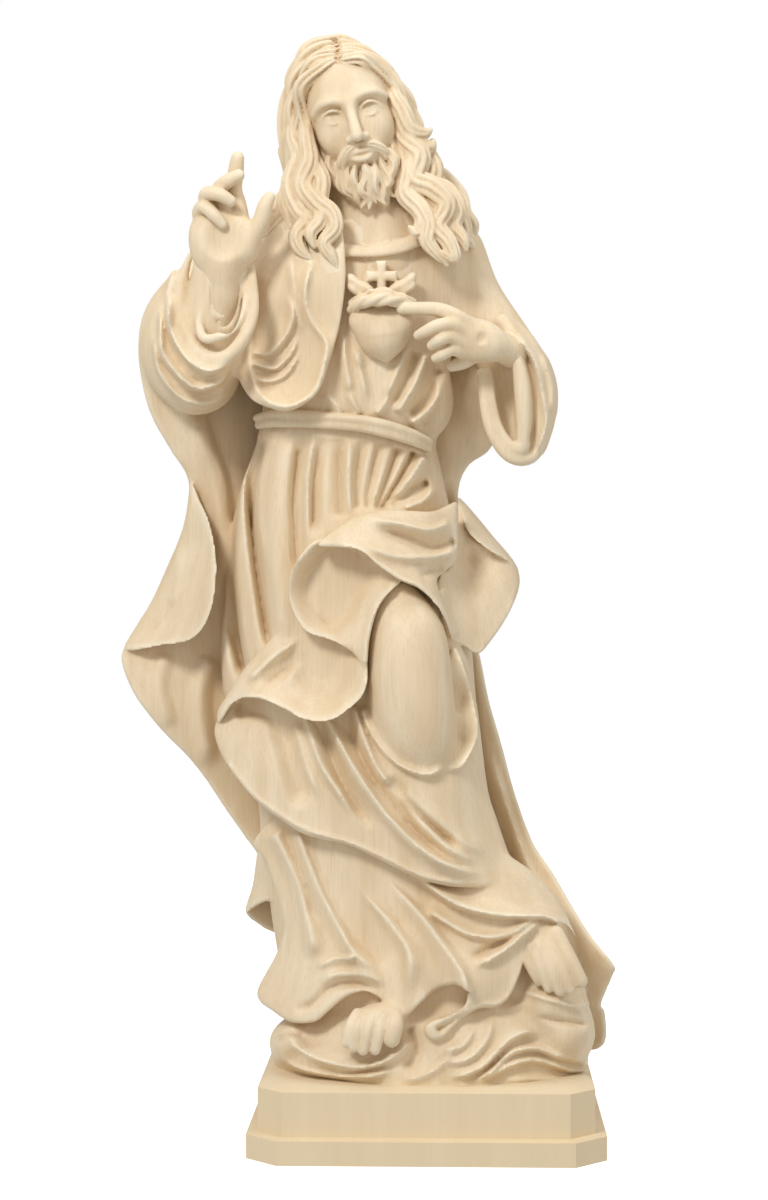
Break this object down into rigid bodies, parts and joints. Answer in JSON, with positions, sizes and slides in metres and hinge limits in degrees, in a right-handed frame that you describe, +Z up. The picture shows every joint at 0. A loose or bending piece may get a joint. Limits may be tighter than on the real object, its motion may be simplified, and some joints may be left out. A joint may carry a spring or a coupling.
{
  "type": "carved devotional statue",
  "caption": "Carved wooden standing figure in a draped mantle, one hand raised and one pointing to a heart on its breast, on clouds over a stepped plinth.",
  "frame": {"origin": "centre of the plinth's flat underside", "axes": "+Z up through the figure, -Y towards the viewer of the figure's front, +X to the viewer's right"},
  "size_m": [0.2684, 0.15, 0.6005],
  "materials": {
    "lime_wood": "pale unfinished lime wood, matt, fine vertical grain"
  },
  "bodies": {
    "root": {"statue": "lime_wood"}
  },
  "joints": []
}
